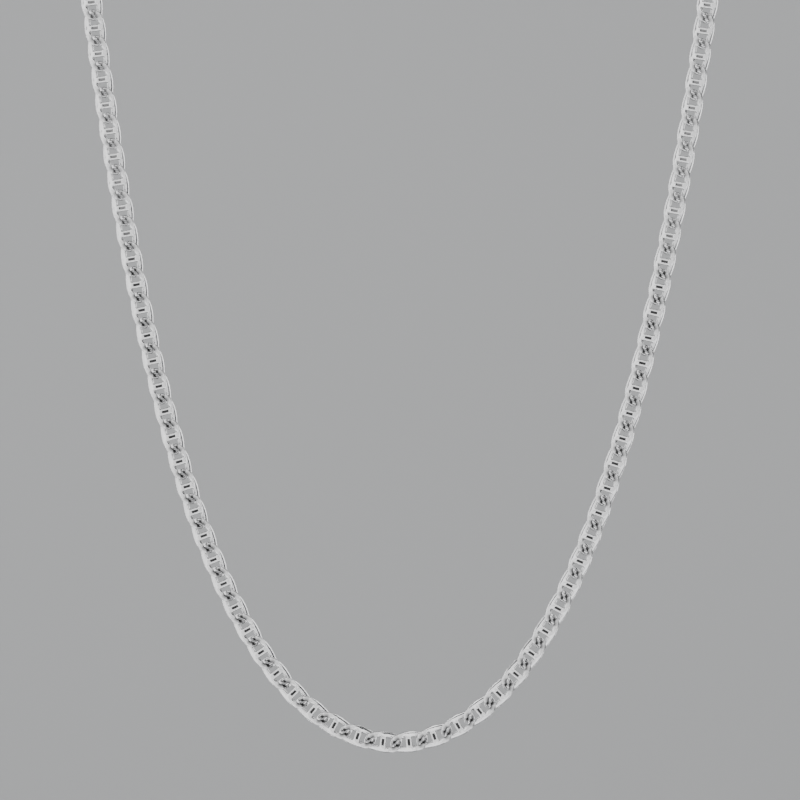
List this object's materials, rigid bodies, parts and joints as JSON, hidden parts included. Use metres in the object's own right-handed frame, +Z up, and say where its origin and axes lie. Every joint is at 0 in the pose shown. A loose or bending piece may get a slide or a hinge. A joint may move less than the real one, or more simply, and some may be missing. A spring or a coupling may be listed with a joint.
{
  "type": "mariner link chain necklace",
  "caption": "Flat mariner link neck chain: interlocked oval links, each crossed by a bar, in a loop that hangs in front and closes with a clasp at the nape.",
  "frame": {"origin": "where the necklace rests on the nape, at the middle of the clasp's inner edge", "axes": "+Z up; the hanging front of the loop faces -Y and lies in a plane square to Y; +X is to the right when the front is looked at"},
  "size_m": [0.1322, 0.0973, 0.1676],
  "materials": {
    "links": "polished silver",
    "clasp": "polished silver",
    "rings": "polished silver"
  },
  "bodies": {
    "root": {"chain_left": "links", "chain_right": "links", "clasp": "clasp", "clasp_ring": "rings", "end_ring": "rings"}
  },
  "joints": []
}
